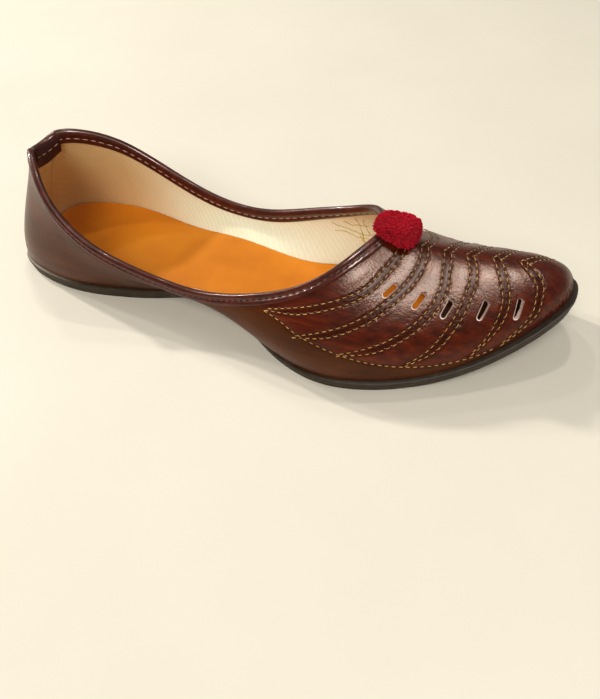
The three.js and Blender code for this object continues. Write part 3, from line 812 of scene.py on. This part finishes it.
def thread_mesh(name, places, length, radius, material):
    """Stitches as arched capsules: each is a circle whose radius follows the square root of 1 less t to the
    fourth power, on an axis that sinks by the square of t at both ends."""
    t = np.linspace(-1, 1, THREAD_STEPS)[:, None]
    fat = radius * np.sqrt(np.maximum(1 - t ** 4, THREAD_TIP ** 2))
    angle = turns(THREAD_SIDES)
    up = fat * np.sin(angle) - radius * THREAD_SINK * t * t
    grid = set_out(places, t * length / 2 + 0 * angle, fat * np.cos(angle), up)
    count, size = len(grid), THREAD_STEPS * THREAD_SIDES
    faces = repeated(grid_faces(THREAD_STEPS, THREAD_SIDES, wrap_columns=True), count, size)
    faces += repeated(np.arange(THREAD_SIDES), count, size)
    faces += repeated(size - THREAD_SIDES + np.arange(THREAD_SIDES), count, size)
    return mesh_piece(name, grid, faces, [material])


def on_vamp(around, depth, aside):
    """A path on the quilted vamp moved sideways by a distance and lifted off it, with its normals."""
    sidewise = np.cross(last_out(around, depth), unit(np.gradient(last(around, depth), axis=0)))
    offset = sidewise * np.broadcast_to(aside, around.shape)[:, None]
    more_around, more_depth = surface_step(offset, *last_runs(around, depth))
    around, depth = around + more_around, depth + more_depth
    height, *_ = vamp_fields(around, depth)
    return wall(around, depth, height + THREAD_LIFT), last_out(around, depth)


gold_thread = thread_finish("gold_thread", (0.33, 0.15, 0.022), (0.60, 0.34, 0.07))
places = []
for line in row_lines:
    path = np.concatenate([line, np.stack([2 - line[::-1, 0], line[::-1, 1]], axis=-1)[1:]])
    apart = half_gap(share_and_side(path[:, 0])[0], line)
    for aside, start in zip((-apart, apart), PAIR_STARTS):
        places.append(stitch_places(*on_vamp(path[:, 0], path[:, 1], aside), STITCH_PITCH, start))
for ends in (boundary_line[:, 0], 2 - boundary_line[:, 0]):
    places.append(stitch_places(*on_vamp(ends, boundary_line[:, 1], 0.0), STITCH_PITCH))
places = joined(places)
vamp_stitching = thread_mesh("vamp_stitching", places, STITCH_LENGTH, THREAD_RADIUS, gold_thread)

# radius and height over the gutter, from a hole's middle, painted dark as shade, over the leather pulled up
# round it
HOLE_PROFILE = np.array([(0.08, 0.03), (0.15, 0.05), (0.21, 0.14), (0.32, 0.19), (0.48, 0.11), (0.74, -0.10)])
HOLE_SIDES, HOLE_LONG, HOLE_DARK_RINGS = 12, 1.15, 2


def needle_holes(name, places, pitch, materials):
    """Needle holes between stitches: rings of leather pulled up round a middle painted dark as shade, by a
    table of radii.
    """
    centre, heading, normal = places
    angle = turns(HOLE_SIDES)
    radius, lift = HOLE_PROFILE[:, 0, None], HOLE_PROFILE[:, 1, None] + 0 * angle
    between = (centre + heading * pitch / 2, heading, normal)
    grid = set_out(between, radius * np.cos(angle) * HOLE_LONG, radius * np.sin(angle), lift)
    count, size = len(centre), lift.size
    one = grid_faces(len(HOLE_PROFILE), HOLE_SIDES, wrap_columns=True)
    dark = np.tile(np.arange(len(one)) < HOLE_DARK_RINGS * HOLE_SIDES, count)
    inks = np.concatenate([dark, np.ones(count, dtype=bool)]).astype(int)
    faces = repeated(one, count, size) + repeated(np.arange(HOLE_SIDES), count, size)
    return mesh_piece(name, grid, faces, materials, inks, weld=False)


# painted shade: the near-black inside of each needle hole
hole_shade, tree, shader = finish("needle_hole", Roughness=0.9, Specular_IOR_Level=0.1)
colour = ramp(tree, noise(tree, 900, 2), (0.3, (0.006, 0.002, 0.002)), (0.7, (0.014, 0.005, 0.004)))
paint(shader, colour)
vamp_holes = needle_holes("vamp_needle_holes", places, STITCH_PITCH, [polished, hole_shade])

YARN_SIDES = 5
OFF_AXIS = (0.31, 0.53, 0.79)
LOOSE_STEPS, LOOSE_RADIUS, LOOSE_LIFT = 30, 0.17, 0.25
LOOSE_WAVE, LOOSE_WAVES, LOOSE_SHIFT = 0.014, 11, 2
# rib share and depth along thread ends left loose on the lining by the throat
LOOSE_ENDS = [
    [(1.388, 0.323), (1.375, 0.425), (1.363, 0.521), (1.349, 0.569), (1.337, 0.591)],
    [(1.391, 0.473), (1.374, 0.536), (1.359, 0.624), (1.346, 0.660)],
    [(1.367, 0.315), (1.355, 0.396), (1.333, 0.411)],
    [(1.341, 0.238), (1.350, 0.462), (1.355, 0.594), (1.362, 0.697)],
    [(1.330, 0.275), (1.340, 0.440), (1.343, 0.561)],
    [(1.360, 0.594), (1.357, 0.682), (1.352, 0.730)],
    [(1.355, 0.561), (1.357, 0.664), (1.362, 0.745)],
]


def tubes(axis, fat):
    """Points and faces of round tubes: circles of given radii square to each axis, capped at both ends."""
    heading = unit(np.gradient(axis, axis=1))
    sidewise = unit(np.cross(heading, OFF_AXIS))
    upwise = np.cross(heading, sidewise)
    angle = turns(YARN_SIDES)
    points = (axis[:, :, None] + sidewise[:, :, None] * (fat[:, None] * np.cos(angle))[None, ..., None]
              + upwise[:, :, None] * (fat[:, None] * np.sin(angle))[None, ..., None])
    count, steps = axis.shape[:2]
    size = steps * YARN_SIDES
    faces = repeated(grid_faces(steps, YARN_SIDES, wrap_columns=True), count, size)
    faces += repeated(size - YARN_SIDES + np.arange(YARN_SIDES), count, size)
    faces += repeated(np.arange(YARN_SIDES)[::-1], count, size)
    return points, faces


ends = np.array([smooth_line(line, LOOSE_STEPS) for line in LOOSE_ENDS])
shift = LOOSE_SHIFT * np.arange(len(ends))[:, None]
ends[..., 1] += LOOSE_WAVE * np.sin(np.linspace(0, LOOSE_WAVES, LOOSE_STEPS) + shift)
ends = wall(ends[..., 0], ends[..., 1], -WALL - LOOSE_LIFT)
yellow_thread = thread_finish("yellow_thread", (0.55, 0.36, 0.05), (0.78, 0.56, 0.12))
loose_threads = mesh_piece("loose_threads", *tubes(ends, np.full(LOOSE_STEPS, LOOSE_RADIUS)), [yellow_thread])
for piece in (vamp_stitching, vamp_holes, loose_threads):
    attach(piece, "root")


# Collar binding
# A strip of maroon-brown leather folded over the collar edge, with a longer leg inside the shoe.
# It is sewn through both legs by one running stitch all the way round.
BINDING_THICK = 0.6
# points round the collar, and the step in millimetres that closes their loop
COLLAR_POINTS, COLLAR_CLOSE = 560, 0.9
INSIDE_SEAM, OUTSIDE_SEAM = 3.2, 2.05
PUCKER_PITCH, PUCKER_DEEP, PUCKER_OUTSIDE, PUCKER_REACH = 2.9, 0.10, 1.6, 0.6
# offsets from the wall past which the profile runs on the inner and on the outer leg
INSIDE_FROM, OUTSIDE_FROM = -2.2, 0.15
CHORD_ROUNDS = 3


def below_collar(around, below, offset):
    """A point at a distance below the collar edge along the rib: the depth is scaled until its chord
    has that length; above the edge the rib's first direction goes straight on."""
    around, below, offset = np.broadcast_arrays(around, below, offset)
    _, down = last_runs(around, np.zeros(around.shape))
    depth = np.clip(below, 0, None) / np.linalg.norm(down, axis=-1)
    for _ in range(CHORD_ROUNDS):
        chord = np.linalg.norm(last(around, depth) - last(around, 0 * depth), axis=-1)
        depth = depth * np.where(below > 0, below / np.maximum(chord, 1e-6), 0)
    above = unit(down) * np.minimum(below, 0)[..., None]
    return wall(around, depth, offset) + above


collar_around = np.linspace(0, 2, COLLAR_POINTS, endpoint=False)
collar_steps = np.linalg.norm(np.diff(last(collar_around, 0.0), axis=0), axis=1)
collar_run = np.concatenate([[0], np.cumsum(collar_steps)])
wave_count = round(collar_run[-1] / PUCKER_PITCH)
wave = np.cos(2 * np.pi * wave_count * collar_run / (collar_run[-1] + COLLAR_CLOSE))
# millimetres below the collar edge and out from the wall: up the outer leg, over the edge, down the inner leg
BINDING_PROFILE = np.array([
    (4.2, 0.10), (4.25, 0.35), (4.05, 0.55), (3.5, 0.66), (2.9, 0.62), (2.45, 0.42), (2.1, 0.18),
    (1.85, 0.20), (1.6, 0.45), (1.2, 0.70), (0.7, 0.78), (0.2, 0.72), (-0.25, 0.45), (-0.55, 0.0),
    (-0.68, -0.5), (-0.70, -1.1), (-0.58, -1.65), (-0.3, -2.1), (0.1, -2.4), (0.7, -2.55), (1.5, -2.60),
    (2.3, -2.58), (2.8, -2.48), (3.05, -2.36), (3.2, -2.32), (3.35, -2.36), (3.6, -2.48), (4.3, -2.58),
    (5.0, -2.56), (5.6, -2.46), (5.95, -2.25), (6.0, -2.0), (5.9, -1.90), (4.5, -1.88), (3.0, -1.88),
    (1.5, -1.88), (-0.2, -1.85), (-0.25, -0.9), (-0.2, 0.05), (1.5, 0.08), (3.0, 0.08),
])
profile_below, profile_offset = BINDING_PROFILE.T
outer_pucker = bell(profile_below - OUTSIDE_SEAM, PUCKER_REACH) * (profile_offset > OUTSIDE_FROM)
inner_pucker = bell(profile_below - INSIDE_SEAM, PUCKER_REACH) * (profile_offset < INSIDE_FROM)
drawn_in = PUCKER_DEEP * wave[:, None] * (inner_pucker - PUCKER_OUTSIDE * outer_pucker)[None, :]
strip = below_collar(collar_around[:, None], profile_below[None, :], profile_offset[None, :] + drawn_in)

binding_leather, tree, shader = finish(
    "binding_leather", Coat_Weight=0.35, Coat_Roughness=0.12, Specular_IOR_Level=0.3,
    Specular_Tint=(1, 0.8, 0.7, 1))
mottle = noise(tree, 150, 5)
colour = ramp(tree, mottle, (0.3, (0.034, 0.0045, 0.0025)), (0.55, (0.064, 0.0088, 0.0046)),
              (0.8, (0.115, 0.021, 0.011)))
paint(shader, colour)
paint(shader, level(tree, mottle, 0.26, 0.42), "Roughness")
under = bump(tree, shader, mottle, 0.2)
bump(tree, shader, noise(tree, 1500, 4), 0.07, under)
binding_faces = grid_faces(COLLAR_POINTS, len(BINDING_PROFILE), True, True)
collar_binding = mesh_piece("collar_binding_leather", strip, binding_faces, [binding_leather])
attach(collar_binding, "root")
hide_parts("collar_binding")


# Binding stitch
# The running stitch of cotton that holds the binding, sewn through both of its legs.
# It shows as long pinkish dashes inside the shoe and as short sunk ones outside.
RUNNING_PITCH, RUNNING_LENGTH, RUNNING_RADIUS = 3.7, 2.7, 0.19
SUNK_LENGTH, SUNK_RADIUS = 1.9, 0.2
INSIDE_OFFSET, OUTSIDE_OFFSET, SEAM_DEPTH, SEAM_POINTS = -2.42, 0.26, 0.06, 1200
pale_thread = thread_finish("pale_thread", (0.45, 0.25, 0.19), (0.70, 0.48, 0.40))
sunk_thread = thread_finish("sunk_thread", (0.045, 0.014, 0.010), (0.16, 0.07, 0.035))
dense = np.linspace(0, 2, SEAM_POINTS)
side_out = last_out(dense, SEAM_DEPTH)
inner_places = stitch_places(below_collar(dense, INSIDE_SEAM, INSIDE_OFFSET), -side_out, RUNNING_PITCH)
outer_places = stitch_places(below_collar(dense, OUTSIDE_SEAM, OUTSIDE_OFFSET), side_out, PUCKER_PITCH)
running = RUNNING_LENGTH, RUNNING_RADIUS, pale_thread
inside_stitch = thread_mesh("binding_stitch_inside", inner_places, *running)
outside_stitch = thread_mesh("binding_stitch_outside", outer_places, SUNK_LENGTH, SUNK_RADIUS, sunk_thread)
for piece in (inside_stitch, outside_stitch):
    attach(piece, "root")


# Heel tab
# A dark maroon leather patch inside the back seam, over the joint of the binding.
# It is glued to the lining and caught by the binding's own stitch.
TAB_HALF, TAB_START, TAB_DEPTH, TAB_THICK = 9.3, 0.2, 8.8, 0.7
TAB_COLUMNS, TAB_ROWS, TAB_SEARCH, TAB_SEARCH_STEPS = 61, 25, 0.3, 601
TAB_CORNER, TAB_TAPER, TAB_END, TAB_SHORTER = 0.82, 0.04, 0.8, 0.10
EDGE_FALL, EDGE_WIDE, TOP_FALL, TOP_WIDE = 0.5, 0.03, 0.6, 0.14
SEAM_DENT, SEAM_WIDE, TAB_THREAD_LIFT, TAB_SEWN, TAB_SEAM_POINTS = 0.22, 0.5, 0.1, 0.92, 80
tab_face = -WALL - FIT_GAP - BINDING_THICK - FIT_GAP
search = np.linspace(0, TAB_SEARCH, TAB_SEARCH_STEPS)
tab_share = np.interp(TAB_HALF, -last(search, 0.0)[:, 1], search)
sideways = np.linspace(-1, 1, TAB_COLUMNS)[:, None]
downward = np.linspace(0, 1, TAB_ROWS)[None, :]
from_middle = np.abs(downward - 0.5)
corner_round = np.clip((np.abs(sideways) - TAB_CORNER) / (1 - TAB_CORNER), 0, None) ** 3 * from_middle * 2
tab_around = sideways * tab_share * (1 - TAB_TAPER * corner_round)
shorter = TAB_SHORTER * np.clip((np.abs(sideways) - TAB_END) / (1 - TAB_END), 0, 1) ** 2
tab_below = TAB_START + TAB_DEPTH * (0.5 + (downward - 0.5) * (1 - shorter))
from_rim = np.minimum(1 - np.abs(sideways), 0.5 - from_middle)
fall = EDGE_FALL * bell(from_rim, EDGE_WIDE) + TOP_FALL * bell(downward, TOP_WIDE)
dent = SEAM_DENT * bell(tab_below - INSIDE_SEAM, SEAM_WIDE)
front = below_collar(tab_around, tab_below, tab_face - TAB_THICK + fall + dent)
back = below_collar(tab_around, tab_below, tab_face)
tab_leather, tree, shader = finish("tab_leather", Roughness=0.5, Specular_IOR_Level=0.2)
colour = ramp(tree, noise(tree, 240, 5), (0.3, (0.030, 0.0045, 0.004)), (0.7, (0.058, 0.009, 0.008)))
paint(shader, colour)
bump(tree, shader, noise(tree, 1400, 4), 0.1)
heel_tab = mesh_piece("heel_tab_leather", *sheet_solid(front, back), [tab_leather])
sewn = np.linspace(-TAB_SEWN, TAB_SEWN, TAB_SEAM_POINTS) * tab_share
tab_path = below_collar(sewn, INSIDE_SEAM, tab_face - TAB_THICK + TAB_THREAD_LIFT)
tab_places = stitch_places(tab_path, -last_out(sewn, SEAM_DEPTH), RUNNING_PITCH)
tab_stitch = thread_mesh("heel_tab_stitch", tab_places, *running)
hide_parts("heel_tab")
for piece in (heel_tab, tab_stitch):
    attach(piece, "root")


# Pompom
# Crimson wool yarn tied in the middle and cut to a squat ball.
# It is sewn down over the throat, so that the yarn spreads flat underneath.
POMPOM_AHEAD, POMPOM_LIFT, POMPOM_SIZE = 5.5, 0.4, np.array([8.8, 6.7, 5.7])
STRANDS, YARN_RADIUS, BOXY, YARN_SEED = 4200, 0.26, 3.4, 5
YARN_TAPER = np.array([0.8, 1.0, 1.1, 0.75])
YARN_SPREAD, YARN_ROOT, YARN_BEND, YARN_TIPS = 1.5, 0.62, 0.35, (0.86, 1.04)
YARN_STRAY = 0.05
SEAT_DEPTH, SEAT_LIFT, SEAT_CLEAR = 0.10, 0.5, 1.3
HEART_SIZE, HEART_ROUND, HEART_RINGS = 0.86, 32, 20
rng = np.random.default_rng(YARN_SEED)
middle = last(1.0, 0.0) + np.array([POMPOM_AHEAD, 0, POMPOM_LIFT])
throat = np.array(1.0), np.array(SEAT_DEPTH)
seat, seat_out = wall(*throat, SEAT_LIFT), last_out(*throat)
k = np.arange(STRANDS) + 0.5
height = 1 - YARN_SPREAD * k / STRANDS
spin = np.pi * (3 - np.sqrt(5)) * k
flat = np.sqrt(1 - height ** 2)
ways = stack(flat * np.cos(spin), flat * np.sin(spin), height)
ways = unit(ways + rng.normal(0, YARN_STRAY, (STRANDS, 3)))


def squat_ball(ways):
    """A ball squared off a little: each direction is divided by its norm of the BOXY power."""
    return ways / np.sum(np.abs(ways) ** BOXY, axis=-1, keepdims=True) ** (1 / BOXY) * POMPOM_SIZE


def above_seat(points):
    """Points lifted along the throat's normal until they clear its tangent plane."""
    short = np.clip(SEAT_CLEAR - (points - seat) @ seat_out, 0, None)
    return points + short[..., None] * seat_out


tip = middle + squat_ball(ways) * rng.uniform(*YARN_TIPS, STRANDS)[:, None]
root = middle + squat_ball(ways) * YARN_ROOT
bow = (root + tip) / 2 + rng.normal(0, YARN_BEND, (STRANDS, 3))
t = np.linspace(0, 1, len(YARN_TAPER))[None, :, None]
axis = (1 - t) ** 2 * root[:, None] + 2 * t * (1 - t) * bow[:, None] + t ** 2 * tip[:, None]
yarn, yarn_faces = tubes(above_seat(axis), YARN_RADIUS * YARN_TAPER)
crimson_yarn, tree, shader = finish(
    "crimson_yarn", Roughness=0.95, Specular_IOR_Level=0.1, Sheen_Weight=0.12, Sheen_Tint=(1.0, 0.2, 0.25, 1))
colour = ramp(tree, field(tree, "strand"), (0.0, (0.43, 0.0037, 0.015)), (0.5, (0.58, 0.0064, 0.024)),
              (1.0, (0.70, 0.0145, 0.039)))
paint(shader, colour)
bump(tree, shader, noise(tree, 5200, 3), 0.08)
pompom = mesh_piece("pompom_yarn", yarn, yarn_faces, [crimson_yarn], weld=False)
keep_field(pompom, "strand", np.repeat(rng.uniform(0, 1, STRANDS), len(YARN_TAPER) * YARN_SIDES))
theta = turns(HEART_ROUND)
phi = np.linspace(0.0, np.pi, HEART_RINGS)[:, None]
ball = stack(np.sin(phi) * np.cos(theta), np.sin(phi) * np.sin(theta), np.cos(phi))
heart = above_seat(middle + HEART_SIZE * squat_ball(ball))
heart_faces = grid_faces(HEART_RINGS, HEART_ROUND, wrap_columns=True)
pompom_heart = mesh_piece("pompom_heart", heart, heart_faces, [crimson_yarn])
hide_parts("pompom")
for piece in (pompom, pompom_heart):
    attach(piece, "root")


# Floor, light and camera
# A plain cream floor under a faint warm sky. Small lamps behind the heel and over the far side cast the
# shadows, a broad fill on the near side lights the lining, and a lamp over the toe shows in the gloss.
# The camera stands over the outer side of the forefoot, as it does for the photograph.
FLOOR_HALF = 3
floor_paint, tree, shader = finish("floor_paint", Roughness=0.5, Specular_IOR_Level=0.15)
colour = ramp(tree, noise(tree, 9, 4), (0.3, (0.745, 0.700, 0.595)), (0.7, (0.78, 0.735, 0.63)))
paint(shader, colour)
floor_mesh = bpy.data.meshes.new("floor")
floor_corners = np.array([(-1, -1, 0), (1, -1, 0), (1, 1, 0), (-1, 1, 0)]) * FLOOR_HALF
floor_mesh.from_pydata(floor_corners.tolist(), [], [(0, 1, 2, 3)])
floor_mesh.materials.append(floor_paint)
floor = add_object("floor", floor_mesh)

sky = bpy.data.worlds.new("sky")
sky.use_nodes = True
glow = sky.node_tree.nodes["Background"].inputs
glow["Color"].default_value, glow["Strength"].default_value = (1.0, 0.96, 0.88, 1), 0.2
bpy.context.scene.world = sky


def placed(right, up, back, place):
    """The matrix of an object at a place, turned to the three directions given."""
    return Matrix(np.vstack([np.column_stack([right, up, back, place]), [0, 0, 0, 1]]).tolist())


def softbox(name, place, aim, size, power, colour, diffuse=True, gloss=True):
    """A square area light at a place, turned to an aim; it lights surfaces, shows in their gloss, or both."""
    lamp = bpy.data.lights.new(name, "AREA")
    lamp.size, lamp.energy, lamp.color = size, power, colour
    lit = add_object(name, lamp)
    lit.visible_diffuse, lit.visible_glossy = diffuse, gloss
    back = unit(np.asarray(place, float) - np.asarray(aim, float))
    right = unit(np.cross([0.0, 1.0, 0.0], back))
    lit.matrix_world = placed(right, np.cross(back, right), back, place)


SHOE_MIDDLE, FOREFOOT = (0, 0, 0.02), (0.05, 0, 0.02)
WARM = (1.0, 0.97, 0.90)
softbox("heel_lamp", (-1.42, 0.38, 1.03), SHOE_MIDDLE, 0.09, 15.0, WARM)
softbox("heel_low_lamp", (-1.58, 0.14, 0.84), SHOE_MIDDLE, 0.09, 7.6, WARM)
softbox("far_lamp", (-0.08, 0.46, 1.10), SHOE_MIDDLE, 0.06, 2.0, WARM)
softbox("far_low_lamp", (-0.47, 0.57, 0.95), SHOE_MIDDLE, 0.06, 1.2, WARM)
softbox("near_fill", (0.2, -1.4, 1.4), SHOE_MIDDLE, 1.0, 26.5, (1.0, 0.96, 0.91), gloss=False)
softbox("toe_lamp", (0.55, -0.10, 1.08), FOREFOOT, 0.34, 0.8, (1.0, 0.96, 0.92))
softbox("toe_gloss", (0.50, -0.10, 1.08), FOREFOOT, 0.30, 18.0, (1.0, 0.97, 0.94), diffuse=False)

AZIMUTH, ELEVATION, ROLL = np.radians([27.488, 46.711, -3.763])
DISTANCE, AIM = 230.152, np.array([161.535, -46.382, 25.0])
SENSOR, FOCAL_PIXELS, LONG_SIDE, NEAREST = 36, 629, 699, 0.01
flat = np.cos(ELEVATION)
back = np.array([np.sin(AZIMUTH) * flat, -np.cos(AZIMUTH) * flat, np.sin(ELEVATION)])
right = np.array([np.cos(AZIMUTH), np.sin(AZIMUTH), 0])
up = np.cross(back, right)
rolled_right = np.cos(ROLL) * right + np.sin(ROLL) * up
rolled_up = np.cos(ROLL) * up - np.sin(ROLL) * right
lens = bpy.data.cameras.new("camera")
lens.sensor_width, lens.lens = SENSOR, SENSOR * FOCAL_PIXELS / LONG_SIDE
lens.clip_start = NEAREST
camera = add_object("camera", lens)
place = (AIM + back * DISTANCE - ORIGIN) * MILLIMETRE
camera.matrix_world = placed(rolled_right, rolled_up, back, place)
bpy.context.scene.camera = camera
bpy.context.scene.view_settings.view_transform = "Standard"
